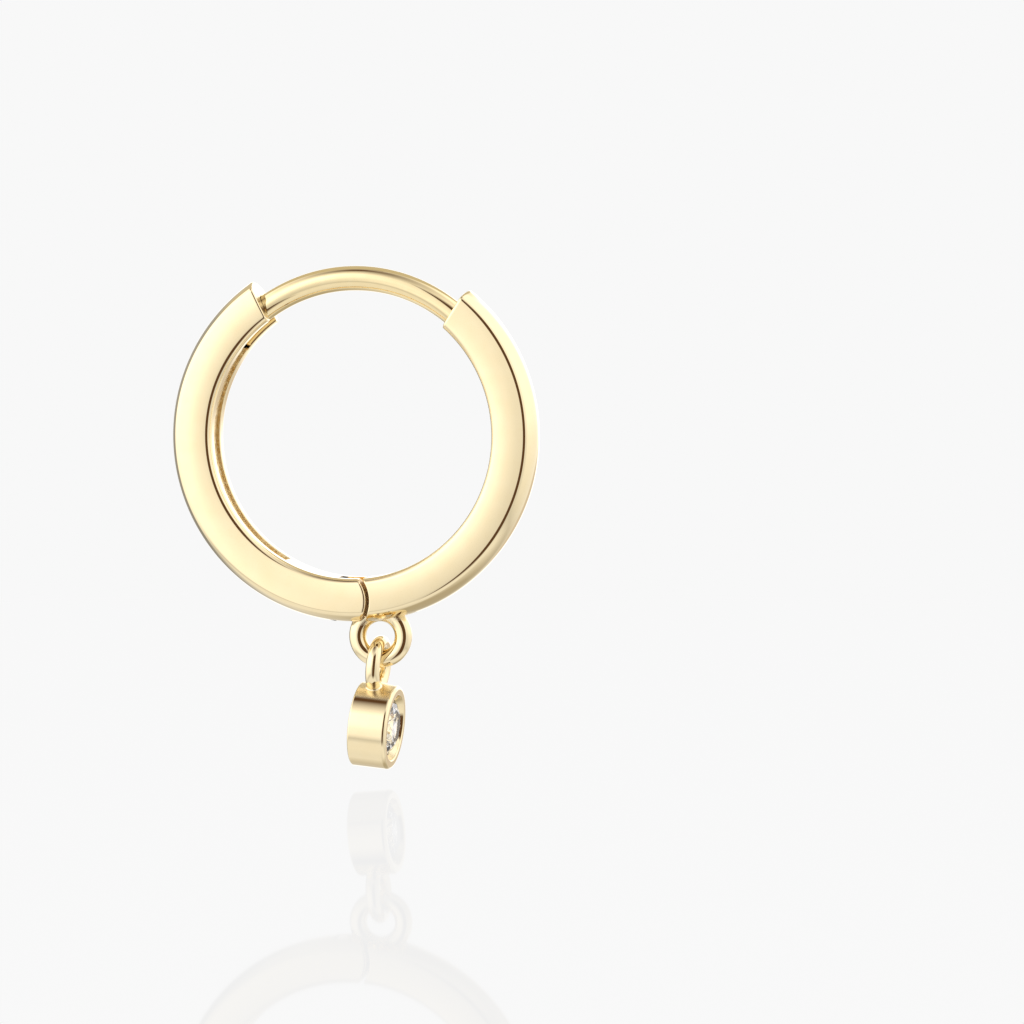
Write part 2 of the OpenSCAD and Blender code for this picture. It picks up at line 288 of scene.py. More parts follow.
def sweep_band(name, first, last):
    """Spin the section from one angle to another, then bevel both square ends."""
    piece = band_section(name)
    bpy.ops.mesh.select_all(action="SELECT")
    arc((0, 0, 0), last - first, round(abs(last - first)), axis=(0, -1, 0))
    stop()
    turn_to(piece, first)
    bpy.ops.object.mode_set(mode="EDIT")
    ends = pick("FACE", lambda face: len(face.verts) > 4)
    bpy.ops.mesh.region_to_loop()
    bpy.ops.mesh.bevel(offset=END_BEVEL, offset_type="OFFSET", segments=4, affect="EDGES",
                       clamp_overlap=False)
    print(name, "spun with", ends, "square ends")
    return piece


def rule_end(angle):
    """Swap an end face for straight strips across the band, so that it can take a round shape."""
    def on_end(vertex):
        return abs((math.degrees(math.atan2(vertex.co.z, vertex.co.x)) - angle + 180) % 360 - 180) < 0.01

    pick("FACE", lambda face: len(face.verts) > 4 and all(on_end(v) for v in face.verts))
    bpy.ops.mesh.delete(type="ONLY_FACE")
    pick("EDGE", lambda edge: edge.is_boundary and edge.verts[0].co.y * edge.verts[1].co.y > 0)
    bpy.ops.mesh.bridge_edge_loops()


# %% Front half: round seat at the hinge, leaning end at the ear wire
front_band = sweep_band("front_band", FRONT_SPUN, FRONT_END)
rule_end(FRONT_SPUN)
stop()
slide_end(front_band, FRONT_END - END_RUN, FRONT_END, leaning_end(FRONT_END, FRONT_END + FRONT_LEAN))
slide_end(front_band, FRONT_SPUN + END_RUN, FRONT_SPUN, lambda radius: round_end(SEAT_R)(radius) - 360)

# %% Back half: leaning end over the socket, round ears at the hinge
back_band = sweep_band("back_band", BACK_END, BACK_SPUN)
rule_end(BACK_SPUN)
stop()
slide_end(back_band, BACK_END + END_RUN, BACK_END, leaning_end(BACK_END, BACK_END - BACK_LEAN),
          past_half=True)
slide_end(back_band, BACK_SPUN - EAR_RUN, BACK_SPUN, round_end(EAR_R), past_half=True)

# %% [markdown]
# ## Socket, cast hollow, hinge slot and pin hole
# The back half of the real hoop takes the tip of the ear wire in a deep round-bottomed socket, and from there
# to the hinge its inner side is cast with a shallow hollow, which saves metal. The socket is smooth, as the
# wire slides in it. No wheel reaches into the hollow, so that keeps the grainy skin of the casting. Each
# cutter is a spun strip. Its mouth is a little wider, which leaves a fine chamfer on both rims. The rings of
# the cutters are set off from those of the band, so that no two edges coincide.

# %% Cut the socket, the hollow, the slot and the hole
SOCKET_W, SOCKET_START, SOCKET_END = 0.88, 113.5, 142.6
HOLLOW_W, HOLLOW_D, HOLLOW_START, HOLLOW_END = 0.74, 0.12, 138.5, 241
MOUTH = 0.03
STAND_OUT = 0.8
SLOT_W, SLOT_R = 0.72, 0.735
SLOT_LEN, SLOT_SPARE = 5, 0.08
PIN_R, PIN_GAP, PIN_COVER = 0.23, 0.02, 0.16
HOLE_OUT = 0.5


def strip_cutter(name, width, wall_r, first, last, floor):
    """A strip with a widened mouth, spun round the hoop from one angle to another. Its walls run straight out
    to a radius, and its floor is flat or round."""
    piece = one_point(name, (BORE_R - STAND_OUT, -width / 2 - MOUTH, 0))
    for x, y in ((STAND_OUT, 0), (MOUTH, MOUTH), (wall_r - BORE_R - MOUTH, 0)):
        line(x, y)
    if floor == "round":
        arc((wall_r, 0, 0), 180, 24)
    else:
        line(0, width)
    for x, y in ((BORE_R + MOUTH - wall_r, 0), (-MOUTH, MOUTH), (-STAND_OUT, 0)):
        line(x, y)
    fill_outline()
    bpy.ops.mesh.select_all(action="SELECT")
    arc((0, 0, 0), last - first, round(last - first), axis=(0, -1, 0))
    stop()
    turn_to(piece, first)
    return piece


def rod(name, radius, low, high, place, sides=96):
    """A round rod along the hoop's axis between two depths."""
    piece = start(name, bpy.ops.mesh.primitive_cylinder_add, vertices=sides, radius=radius,
                  depth=high - low, location=(place.x, (low + high) / 2, place.z),
                  rotation=(math.pi / 2, 0, 0))
    set_place()
    return piece


def slot_cutter():
    """A block through both ears, from the pin onwards, where the neck of the tongue turns."""
    piece = start("slot_cutter", bpy.ops.mesh.primitive_cube_add, size=1)
    bpy.ops.object.mode_set(mode="OBJECT")
    along = polar(1, HINGE + 90)
    put(piece, Matrix.Translation(PIVOT + along * (SLOT_LEN / 2 - SLOT_SPARE))
        @ Matrix.Rotation(-math.radians(HINGE + 90), 4, "Y")
        @ Matrix.Diagonal((SLOT_LEN, SLOT_W, SLOT_LEN, 1)))
    return piece


def pin_hole():
    """The blind hole for the pin, open on the far side."""
    return rod("pin_hole", PIN_R + PIN_GAP, PIN_COVER - half_w, half_w + HOLE_OUT, PIVOT)


cut(back_band, strip_cutter("socket_cutter", SOCKET_W, WIRE_R, SOCKET_START, SOCKET_END, "round"),
    strip_cutter("hollow_cutter", HOLLOW_W, BORE_R + HOLLOW_D, HOLLOW_START, HOLLOW_END, "flat"),
    rod("head_cutter", SLOT_R, -SLOT_W / 2, SLOT_W / 2, PIVOT), slot_cutter(), pin_hole())
print("back_band has", len(back_band.data.polygons), "faces after the cuts")

# %% [markdown]
# ## Catch bar
# A small round bar lies across the socket near its open end. The notch filed into the ear wire snaps over
# it when the hoop is closed. Its ends are sunk in both walls, as it was cast in one with them.

# %% Catch bar
CATCH = polar(5.725, 131)
CATCH_R = 0.12
SUNK = 0.1
catch_bar = rod("catch_bar", CATCH_R, -SOCKET_W / 2 - SUNK, SOCKET_W / 2 + SUNK, CATCH, sides=32)

# %% [markdown]
# ## Hinge tongue and pin
# The front half carries a flat tongue with a round head that sits between the two ears, and a pin goes
# through all three. The tongue's outline is one arc and a straight neck. It is filled, pulled out to its
# thickness and given a fine bevel.

# %% Tongue and pin
TONGUE_W, NECK_H = 0.6, 1.0
HEAD_BELOW = 0.065
TONGUE_BEVEL, PIN_BEVEL = 0.03, 0.04
HEAD_R = (CROWN_R - BORE_R) / 2 - HEAD_BELOW
neck_x = math.sqrt(HEAD_R ** 2 - (NECK_H / 2) ** 2)
neck_angle = math.degrees(math.atan2(NECK_H / 2, neck_x))

hinge_tongue = one_point("hinge_tongue", (neck_x, -TONGUE_W / 2, NECK_H / 2))
arc((0, -TONGUE_W / 2, 0), 360 - 2 * neck_angle, 72, axis=(0, -1, 0))
line(SEAT_R + NECK_H / 4 - neck_x, 0)
line(0, 0, NECK_H)
fill_outline()
bpy.ops.mesh.select_all(action="SELECT")
bpy.ops.mesh.extrude_region_move(TRANSFORM_OT_translate={"value": (0, TONGUE_W, 0)})
bpy.ops.mesh.select_all(action="SELECT")
bpy.ops.mesh.normals_make_consistent(inside=False)
pick("FACE", lambda face: len(face.verts) > 4)
bpy.ops.mesh.region_to_loop()
bpy.ops.mesh.bevel(offset=TONGUE_BEVEL, segments=3, affect="EDGES")
stop()
put(hinge_tongue, Matrix.Translation(PIVOT) @ Matrix.Rotation(-math.radians(HINGE + 90), 4, "Y"))
cut(hinge_tongue, pin_hole())

hinge_rod = rod("hinge_rod", PIN_R, PIN_COVER - half_w, half_w, PIVOT, sides=64)
bpy.ops.object.mode_set(mode="EDIT")
pick("FACE", lambda face: len(face.verts) > 4)
bpy.ops.mesh.region_to_loop()
bpy.ops.mesh.bevel(offset=PIN_BEVEL, segments=4, affect="EDGES")
stop()

# %% [markdown]
# ## Charm loop
# A ring of round wire is soldered under the band, just in front of the hinge. A torus is that ring, and the
# part of it that would stand in the way of the turning ears is cut off with two round tools.

# %% Charm loop
LOOP_D, LOOP_WIRE = 2.13, 0.58
LOOP_X, LOOP_HANG = 0.86, 0.455
LOOP_AT = Vector((LOOP_X, 0, -CROWN_R - LOOP_HANG))
TOOL_END = 2.5


def ring(name, outer, wire, place, rotation, around=128, across=48):
    """A closed ring of round wire."""
    piece = start(name, bpy.ops.mesh.primitive_torus_add, major_radius=(outer - wire) / 2,
                  minor_radius=wire / 2, major_segments=around, minor_segments=across,
                  location=place, rotation=rotation)
    set_place()
    return piece


charm_loop = ring("charm_loop", LOOP_D, LOOP_WIRE, LOOP_AT, (math.pi / 2, 0, 0))
cut(charm_loop, rod("cutter", SEAT_R, TONGUE_W / 2, TOOL_END, PIVOT),
    rod("cutter", SEAT_R, -TOOL_END, -TONGUE_W / 2, PIVOT))

# %% [markdown]
# ## Ear wire
# The ear wire is a round drawn wire, bent to the hoop's own curve and soldered to the front half. Its free
# end is rounded so that it slips through the ear, and a notch is filed near it for the catch. A circle is
# spun round the hoop, and the round tip grows from the last ring, which steps on and shrinks along a blunt
# curve.

# %% Ear wire
TIP, TIP_LEN = 140.5, 0.18
ROOT_STEP, ROOT_RUN = 0.02, 5
NOTCH_R = 0.22
TIP_RINGS = 10


def tip_turn(step):
    """The rings of the tip lie along a quarter turn, and the last one stops just short of its end."""
    return math.radians(90 * step / (TIP_RINGS + 0.3))


wire = start("wire", bpy.ops.mesh.primitive_circle_add, vertices=64, radius=WIRE_D / 2,
             location=(WIRE_R, 0, 0))
set_place()
bpy.ops.object.mode_set(mode="EDIT")
bpy.ops.mesh.select_all(action="SELECT")
spun = TIP - FRONT_END
arc((0, 0, 0), spun, round(spun), axis=(0, -1, 0))
for step in range(1, TIP_RINGS + 1):
    now, before = tip_turn(step), tip_turn(step - 1)
    forward = polar(TIP_LEN * (math.sin(now) - math.sin(before)), spun + 90)
    centre = polar(WIRE_R, spun) + polar(TIP_LEN * math.sin(now), spun + 90)
    bpy.ops.mesh.extrude_region_move(TRANSFORM_OT_translate={"value": forward})
    shrink = math.cos(now) / math.cos(before)
    bpy.ops.transform.resize(value=(shrink,) * 3, center_override=centre)
bpy.ops.mesh.edge_face_add()
pick("EDGE", lambda edge: edge.is_boundary)
bpy.ops.mesh.edge_face_add()
stop()
turn_to(wire, FRONT_END)
root_turn = math.degrees(ROOT_STEP / WIRE_R)
slide_end(wire, FRONT_END + ROOT_RUN, FRONT_END,
          lambda radius: leaning_end(FRONT_END, FRONT_END + FRONT_LEAN)(radius) + root_turn)
cut(wire, rod("notch", NOTCH_R, -1, 1, CATCH, sides=64))

# %% [markdown]
# ## Bezel cup
# The stone sits in a cup that was turned from one piece: a light hole in the back, a cone that carries the
# stone, a groove for its edge, and a rim that was rolled over it and polished round. A turned part is a
# drawn outline spun round its axis, so that is how it is made here.

# %% Cup outline, spun round the cup's axis
CUP_R, CUP_DEPTH = 1.4, 1.3
RIM_W = 0.32
CUP_EDGE = 0.06
RIM_OUTER, RIM_INNER = 0.14, 0.06
HOLE_R = 0.5
STONE_R, TABLE_R = 1.02, 0.56
CROWN_SLOPE, PAVILION_SLOPE = math.radians(33), math.radians(40)
GIRDLE, RECESS, STONE_GAP, GRIP = 0.03, -0.02, 0.02, 0.03
crown_h = (STONE_R - TABLE_R) * math.tan(CROWN_SLOPE)
girdle_s = CUP_DEPTH - RECESS - crown_h - GIRDLE / 2

pocket_r = STONE_R + STONE_GAP
seat_top = (girdle_s - GIRDLE / 2 - STONE_GAP / math.cos(PAVILION_SLOPE)
            + STONE_GAP * math.tan(PAVILION_SLOPE))
seat_low = seat_top - (pocket_r - HOLE_R) * math.tan(PAVILION_SLOPE)
pocket_top = girdle_s + GIRDLE / 2 + STONE_GAP
lip_s = girdle_s + GIRDLE / 2 + GRIP * math.tan(CROWN_SLOPE) + STONE_GAP / math.cos(CROWN_SLOPE)

bezel_cup = one_point("bezel_cup", (HOLE_R, 0, 0))
line(CUP_R - CUP_EDGE - HOLE_R, 0)
arc((CUP_R - CUP_EDGE, 0, CUP_EDGE), 90, 8, axis=(0, -1, 0))
line(0, 0, CUP_DEPTH - RIM_OUTER - CUP_EDGE)
arc((CUP_R - RIM_OUTER, 0, CUP_DEPTH - RIM_OUTER), 90, 10, axis=(0, -1, 0))
line(RIM_OUTER + RIM_INNER - RIM_W, 0)
arc((CUP_R - RIM_W + RIM_INNER, 0, CUP_DEPTH - RIM_INNER), 90, 6, axis=(0, -1, 0))
at = Vector((CUP_R - RIM_W, 0, CUP_DEPTH - RIM_INNER))
for x, z in ((STONE_R - GRIP, lip_s), (pocket_r, pocket_top), (pocket_r, seat_top), (HOLE_R, seat_low)):
    line(x - at.x, 0, z - at.z)
    at = Vector((x, 0, z))
fill_outline()
bpy.ops.mesh.delete(type="ONLY_FACE")
bpy.ops.mesh.select_all(action="SELECT")
arc((0, 0, 0), 360, 160)
stop()

# %% [markdown]
# ## Bail and its solder
# The cup hangs from a ring of wire that is soldered on top of it. Molten solder runs into the corner between
# the two and sets in a hollow curve. A bevel can't follow such a corner well, so the solder is made as it
# runs: the ring and a plug of the cup are welded, cut down to the joint, rebuilt in small even faces and
# smoothed, which fills the corner and draws everything else back under the surface of the ring and the cup.

# %% Bail ring and solder
BAIL_D, BAIL_WIRE = 2.015, 0.47
CUP_DROP = 2.0125
BAIL_BACK = 0.13
JOINT_LOW, JOINT_TOP = -1.05, -0.2
JOINT_L, JOINT_W = 3, 1.9
PLUG_IN, PLUG_SHORT = 0.015, 0.2

bail_ring = ring("bail_ring", BAIL_D, BAIL_WIRE, (0, 0, 0), (0, math.pi / 2, 0), across=40)

bail_solder = ring("bail_solder", BAIL_D, BAIL_WIRE, (0, 0, 0), (0, math.pi / 2, 0), around=96, across=32)
plug = start("plug", bpy.ops.mesh.primitive_cylinder_add, vertices=144, radius=CUP_R - PLUG_IN,
             depth=CUP_DEPTH - PLUG_SHORT, location=(BAIL_BACK, 0, -CUP_DROP), rotation=(0, math.pi / 2, 0))
set_place()
keep = start("keep", bpy.ops.mesh.primitive_cube_add, size=1, location=(0, 0, (JOINT_LOW + JOINT_TOP) / 2),
             scale=(JOINT_L, JOINT_W, JOINT_TOP - JOINT_LOW))
set_place()
cut(bail_solder, plug, operation="UNION")
cut(bail_solder, keep, operation="INTERSECT")
use(bail_solder, "REMESH", mode="VOXEL", voxel_size=0.03)
use(bail_solder, "SMOOTH", factor=0.5, iterations=45)

# %% [markdown]
# ## Stone
# A brilliant is cut facet by facet against a spinning lap, and Blender can cut it the same way. The rough
# stone is a short rod as wide as the girdle. Each facet is one flat cut that takes away all that lies
# outside it: the table, eight stars, eight mains and sixteen girdle facets above, and eight mains and
# sixteen girdle facets below.

# %% Cut the stone
STAR_R, LOWER_R = 0.78 * STONE_R, 0.25 * STONE_R
ROUGH_H = 2.2


def on_ring(radius, degrees, height):
    """Point at a radius, an angle and a height about the stone's axis."""
    turned = math.radians(degrees)
    return Vector((radius * math.cos(turned), radius * math.sin(turned), height))


def facet(a, b, c):
    """Cut off what lies outside the plane through three points."""
    outward = (b - a).cross(c - a).normalized()
    if outward.dot(a) < 0:
        outward.negate()
    bpy.ops.mesh.select_all(action="SELECT")
    bpy.ops.mesh.bisect(plane_co=a, plane_no=outward, use_fill=True, clear_outer=True, threshold=0.00002)


top_z = GIRDLE / 2 + crown_h
star_z = GIRDLE / 2 + (STONE_R - STAR_R * math.cos(math.pi / 8)) * math.tan(CROWN_SLOPE)
lower_z = -GIRDLE / 2 - (STONE_R - LOWER_R * math.cos(math.pi / 8)) * math.tan(PAVILION_SLOPE)
culet = Vector((0, 0, -GIRDLE / 2 - STONE_R * math.tan(PAVILION_SLOPE)))

brilliant = start("brilliant", bpy.ops.mesh.primitive_cylinder_add, vertices=16, radius=STONE_R,
                  depth=ROUGH_H, rotation=(0, 0, math.radians(90)))
set_place()
bpy.ops.object.mode_set(mode="EDIT")
for turn in range(0, 360, 45):
    side = turn + 22.5
    beside = Vector((-math.sin(math.radians(turn)), math.cos(math.radians(turn)), 0))
    above = [on_ring(STONE_R, a, GIRDLE / 2) for a in (turn, side, turn + 45)]
    below = [on_ring(STONE_R, a, -GIRDLE / 2) for a in (turn, side, turn + 45)]
    star = on_ring(STAR_R, side, star_z)
    tip = on_ring(LOWER_R, side, lower_z)
    facet(above[0], on_ring(TABLE_R, turn, top_z), above[0] + beside)
    facet(star, above[0], above[1])
    facet(star, above[1], above[2])
    facet(star, on_ring(TABLE_R, turn, top_z), on_ring(TABLE_R, turn + 45, top_z))
    facet(below[0], culet, below[0] + beside)
    facet(tip, below[0], below[1])
    facet(tip, below[1], below[2])
facet(on_ring(TABLE_R, 0, top_z), on_ring(TABLE_R, 90, top_z), on_ring(TABLE_R, 180, top_z))
stop()
print("brilliant cut with", len(brilliant.data.polygons), "faces")

# %% [markdown]
# ## Helpers for the finishes
# Colours are written as the hex values that a colour picker shows, and Blender's shaders want linear light,
# so one function turns one into the other. A second function adds a node with its settings and links.

# %% Colour and node helpers


def colour(code):
    """Linear colour from an sRGB hex code."""
    parts = [int(code[i:i + 2], 16) / 255 for i in (1, 3, 5)]
    return tuple(p / 12.92 if p <= 0.04045 else ((p + 0.055) / 1.055) ** 2.4 for p in parts) + (1,)


def add_node(tree, kind, settings=None, links=None):
    """Add a node. Settings name a property or an input socket, and links join outputs to inputs."""
    made = tree.nodes.new(kind)
    for name, value in (settings or {}).items():
        if isinstance(name, str) and hasattr(made, name):
            setattr(made, name, value)
        else:
            made.inputs[name].default_value = value
    for name, source in (links or {}).items():
        tree.links.new(source, made.inputs[name])
    return made


def new_material(name):
    """An empty material with its tree and its output."""
    material = bpy.data.materials.new(name)
    material.use_nodes = True
    material.node_tree.nodes.clear()
    return material, material.node_tree, material.node_tree.nodes.new("ShaderNodeOutputMaterial")


# %% [markdown]
# ## Polished gold plate
# The hoop is brass under a layer of pale yellow gold, polished on a felt wheel. That gives an almost perfect
# mirror of a pale warm yellow. What is left of the wheel's work is a faint unevenness about half a millimetre
# across and a very slight change in gloss.

# %% Polished gold, drawn gold wire and the pin's gold


def polished_gold(name, base, shade, roughness, spot=0.5):
    """Mirror-bright gold whose tone and gloss change a little over spots of the given size in mm."""
    material, tree, output = new_material(name)
    place = add_node(tree, "ShaderNodeTexCoord")
    cloud = add_node(tree, "ShaderNodeTexNoise", {"Scale": 1 / (spot * MM), "Detail": 3.0, "Roughness": 0.5},
                     {"Vector": place.outputs["Object"]})
    tone = add_node(tree, "ShaderNodeMix", {"data_type": "RGBA", 6: colour(base), 7: colour(shade)},
                    {0: cloud.outputs["Fac"]})
    gloss = add_node(tree, "ShaderNodeMapRange", {"To Min": roughness * 0.7, "To Max": roughness * 1.3},
                     {"Value": cloud.outputs["Fac"]})
    wheel = add_node(tree, "ShaderNodeBump", {"Strength": 0.02, "Distance": 0.02 * MM},
                     {"Height": cloud.outputs["Fac"]})
    metal = add_node(tree, "ShaderNodeBsdfPrincipled", {"Metallic": 1.0},
                     {"Base Color": tone.outputs[2], "Roughness": gloss.outputs["Result"],
                      "Normal": wheel.outputs["Normal"]})
    tree.links.new(metal.outputs["BSDF"], output.inputs["Surface"])
    return material


band_gold = polished_gold("gold_plate_polished", "#f7e6bf", "#f4e0b4", 0.05)
drawn_gold = polished_gold("gold_plate_on_drawn_wire", "#f6e4b8", "#f2dcaa", 0.06, spot=0.3)
pin_gold = polished_gold("gold_plate_on_pin", "#f3deb0", "#ecd39c", 0.12, spot=0.2)
solder_gold = polished_gold("gold_plate_over_solder", "#f8e9c6", "#f5e3bb", 0.3, spot=0.2)

# %% [markdown]
# ## Casting skin and seam
# Inside the hollow and on the catch bar the gold plate lies on the grainy skin of the casting. Its colour is
# painted deeper, as light bouncing between the grains would make it, with painted shade in the dips and a
# painted highlight on the grains, and it sparkles instead of mirroring. The grains are about a tenth of a
# millimetre across. In the seam at the hinge no wheel reaches the plate either, so it is rough and dull, and
# its colour is darkened as painted shade of the narrow gap.

# %% Cast gold with painted shade in its dips, and gold with painted shade for the seam
GRAIN = 0.1


def rough_gold(name, deep, light, roughness, strength):
    """Gold plate on a grainy ground, darker in the dips as painted shade and lighter on the grains as painted
    highlight.
    """
    material, tree, output = new_material(name)
    place = add_node(tree, "ShaderNodeTexCoord")
    grain = add_node(tree, "ShaderNodeTexNoise", {"Scale": 1 / (GRAIN * MM), "Detail": 4.0, "Roughness": 0.6},
                     {"Vector": place.outputs["Object"]})
    grain_shade_share = add_node(tree, "ShaderNodeMapRange", {"From Min": 0.35, "From Max": 0.65},
                        {"Value": grain.outputs["Fac"]})
    lumps = add_node(tree, "ShaderNodeTexVoronoi", {"Scale": 1 / (2 * GRAIN * MM)},
                     {"Vector": place.outputs["Object"]})
    # Painted shade and highlight: the tone follows the grain noise that also raises the bump, dark in the
    # dips, light on the grains.
    tone = add_node(tree, "ShaderNodeMix", {"data_type": "RGBA", 6: colour(deep), 7: colour(light)},
                    {0: grain_shade_share.outputs["Result"]})
    height = add_node(tree, "ShaderNodeMath", {"operation": "ADD"},
                      {0: grain.outputs["Fac"], 1: lumps.outputs["Distance"]})
    skin = add_node(tree, "ShaderNodeBump", {"Strength": strength, "Distance": 0.03 * MM},
                    {"Height": height.outputs[0]})
    metal = add_node(tree, "ShaderNodeBsdfPrincipled", {"Metallic": 1.0, "Roughness": roughness},
                     {"Base Color": tone.outputs[2], "Normal": skin.outputs["Normal"]})
    tree.links.new(metal.outputs["BSDF"], output.inputs["Surface"])
    return material


# The casting skin's deeper tone is painted, standing in for light that bounces between the grains.
cast_gold = rough_gold("gold_plate_on_casting_skin", "#eccb8a", "#fff2ce", 0.4, 0.8)
# The seam's gold is rough and darker than the polished plate: the darker colour is painted shade of the
# narrow gap.
seam_shade_gold = rough_gold("gold_plate_darkened_as_seam_shade", "#dcbc90", "#f0dab0", 0.5, 0.4)

# %% [markdown]
# ## Clear cut stone
# The stone is clear cubic zirconia. Its index of refraction is about 2.15, far above that of glass, and that
# is why it throws the light back as bright and dark facets.

# %% Clear stone
clear_stone, tree, output = new_material("cubic_zirconia_clear")
gem = add_node(tree, "ShaderNodeBsdfPrincipled",
               {"Base Color": colour("#fafbfd"), "Roughness": 0.0, "IOR": 2.15, "Transmission Weight": 1.0})
tree.links.new(gem.outputs["BSDF"], output.inputs["Surface"])

# %% [markdown]
# ## Putting the pieces in place
# Every piece rides on the body whose solid it stands for. The hoop's pieces are already round the hoop's
# centre. The charm was drawn upright round the middle of its bail, so it first leans and turns a little, as
# a charm that hangs free does, and drops into its place in the loop. The cup and the stone turn to face the
# front.

# %% Dress the pieces and join them to their bodies
LEAN, TURN = math.radians(5.5), math.radians(2.5)
HANG_GAP = 0.03
inside_loop = LOOP_AT.z - (LOOP_D - LOOP_WIRE) / 2 + LOOP_WIRE / 2
bail_top = Vector((LOOP_AT.x, 0, inside_loop + HANG_GAP + BAIL_WIRE / 2))
charm_place = (Matrix.Translation(bail_top) @ Matrix.Rotation(-TURN, 4, "Z") @ Matrix.Rotation(LEAN, 4, "Y")
               @ Matrix.Translation((0, 0, -(BAIL_D - BAIL_WIRE) / 2)))
cup_place = (charm_place @ Matrix.Translation((BAIL_BACK - CUP_DEPTH / 2, 0, -CUP_DROP))
             @ Matrix.Rotation(math.pi / 2, 4, "Y"))
stone_place = cup_place @ Matrix.Translation((0, 0, girdle_s))
on_hoop = Matrix.Identity(4)


def dress(piece, finish, body, node, place=on_hoop, sharp=35):
    """Give a piece its finish, set it in place and make it stand for its solid."""
    piece.data.materials.clear()
    piece.data.materials.append(finish)
    finish_piece(piece, place, sharp)
    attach(piece, body)
    if node:
        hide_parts(node)


dress(front_band, band_gold, "front", "front_half")
dress(hinge_tongue, band_gold, "front", None)
dress(charm_loop, band_gold, "front", None)
dress(hinge_rod, pin_gold, "front", "hinge_pin")
dress(wire, drawn_gold, "front", "ear_wire")
dress(back_band, band_gold, "back", "back_half")
dress(catch_bar, cast_gold, "back", None)
dress(bezel_cup, band_gold, "charm", "bezel_setting", cup_place)
dress(bail_ring, band_gold, "charm", None, charm_place)
dress(bail_solder, solder_gold, "charm", None, charm_place, sharp=80)
dress(brilliant, clear_stone, "charm", "stone", stone_place, sharp=1)

# %% [markdown]
# ## A second finish on some faces
# A goldsmith's wheel is wider than the corners it has to reach. So some faces of a piece have a finish of
# their own: casting skin with painted shade in its dips in the hollow, rough gold darkened as painted shade
# of the gap in the seam, and a softer gold round the soldered joints, on the leaning end over the socket and
# on top of the cup. Each is found by its place in the hoop's own frame.

# %% Casting skin in the hollow, painted shade in the seam, soft gold round the joints
NEAR, CLOSE = 0.02, 0.025
WALL_OFF, EDGE_OFF, FLOOR_OFF = 0.001, 0.002, 0.01
SEAM_FROM, SEAM_FACING = 260, 0.3
LOOP_FROM, LOOP_TO = 262, 290
SOLDER_DEEP, SOLDER_WIDE = 0.1, 0.5
END_NEAR, END_FACING = 4, 0.95
CUP_TOP_FACING = 0.72


def paint(piece, finish, test):
    """Give a second finish to the faces that pass a test of their place in the hoop's own frame."""
    piece.data.materials.append(finish)
    painted = 0
    for face in piece.data.polygons:
        spot = face.center / MM - HOOP_CENTRE
        radius = math.hypot(spot.x, spot.z)
        around = math.degrees(math.atan2(spot.z, spot.x)) % 360
        if test(face, spot, radius, around):
            face.material_index = len(piece.data.materials) - 1
            painted += 1
    print(painted, "faces of", piece.name, "in", finish.name)


def in_hollow(face, spot, radius, around):
    """The walls, the floor and the far end of the cast hollow."""
    floor_r = BORE_R + HOLLOW_D
    wall = abs(abs(spot.y) - HOLLOW_W / 2) < WALL_OFF or radius > floor_r - NEAR
    inside = (BORE_R + MOUTH + FLOOR_OFF < radius < floor_r + FLOOR_OFF
              and abs(spot.y) < HOLLOW_W / 2 + EDGE_OFF)
    return inside and wall and SOCKET_END - 1 < around < HOLLOW_END + 1


def seam_shade_faces(reach):
    """Faces of a round hinge end, which stand at the given reach from the pin and get the painted seam shade.
    """
    def test(face, spot, radius, around):
        away = math.hypot(spot.x - PIVOT.x, spot.z - PIVOT.z)
        return (around > SEAM_FROM and abs(away - reach) < CLOSE and abs(face.normal.y) < SEAM_FACING
                and abs(spot.y) < half_w - NEAR and BORE_R + NEAR < radius < CROWN_R - NEAR)
    return test


def by_the_loop(face, spot, radius, around):
    """The middle of the band's underside, and the ends of the loop that are soldered to it."""
    return LOOP_FROM < around < LOOP_TO and abs(radius - CROWN_R) < SOLDER_DEEP and abs(spot.y) < SOLDER_WIDE


def on_top_end(face, spot, radius, around):
    """The leaning end face of the back half."""
    return abs(around - BACK_END) < END_NEAR and face.normal.dot(polar(1, BACK_END - 90)) > END_FACING


def on_cup_top(face, spot, radius, around):
    """The upper side of the cup, which the solder has run over."""
    return face.normal.z > CUP_TOP_FACING


paint(back_band, cast_gold, in_hollow)
paint(back_band, solder_gold, on_top_end)
paint(front_band, solder_gold, by_the_loop)
paint(charm_loop, solder_gold, by_the_loop)
paint(bezel_cup, solder_gold, on_cup_top)
# Painted shade: the round hinge ends that face each other across the seam get the darkened gold.
paint(back_band, seam_shade_gold, seam_shade_faces(EAR_R))
paint(front_band, seam_shade_gold, seam_shade_faces(SEAT_R))

# %% [markdown]
# ## Floor
# The earring hangs just above a glossy white table. The table is so evenly lit that nothing of its edge or
# its shade can be seen, and only a faint mirror image of the earring shows in it.

# %% Floor
WHITE = colour("#f8f8f8")
FLOOR_Z, FLOOR_R = -16.275, 0.09
MIRROR, GLOW = 0.05, 0.958
bpy.ops.object.select_all(action="DESELECT")
bpy.ops.mesh.primitive_circle_add(vertices=128, radius=FLOOR_R, fill_type="NGON",
                                  location=(0, 0, FLOOR_Z * MM))
table_top = bpy.context.object
table_top.name = "table_top"
bpy.ops.object.transform_apply(location=True, rotation=True, scale=True)
floor_white, tree, output = new_material("glossy_white_acrylic")
glow = add_node(tree, "ShaderNodeEmission", {"Color": WHITE, "Strength": GLOW})
mirror = add_node(tree, "ShaderNodeBsdfGlossy", {"Color": (1, 1, 1, 1), "Roughness": 0.03})
blend = add_node(tree, "ShaderNodeMixShader", {0: MIRROR}, {1: glow.outputs[0], 2: mirror.outputs[0]})
tree.links.new(blend.outputs[0], output.inputs["Surface"])
table_top.data.materials.append(floor_white)
table_top.visible_glossy = False
table_top.visible_diffuse = False
table_top.visible_transmission = False

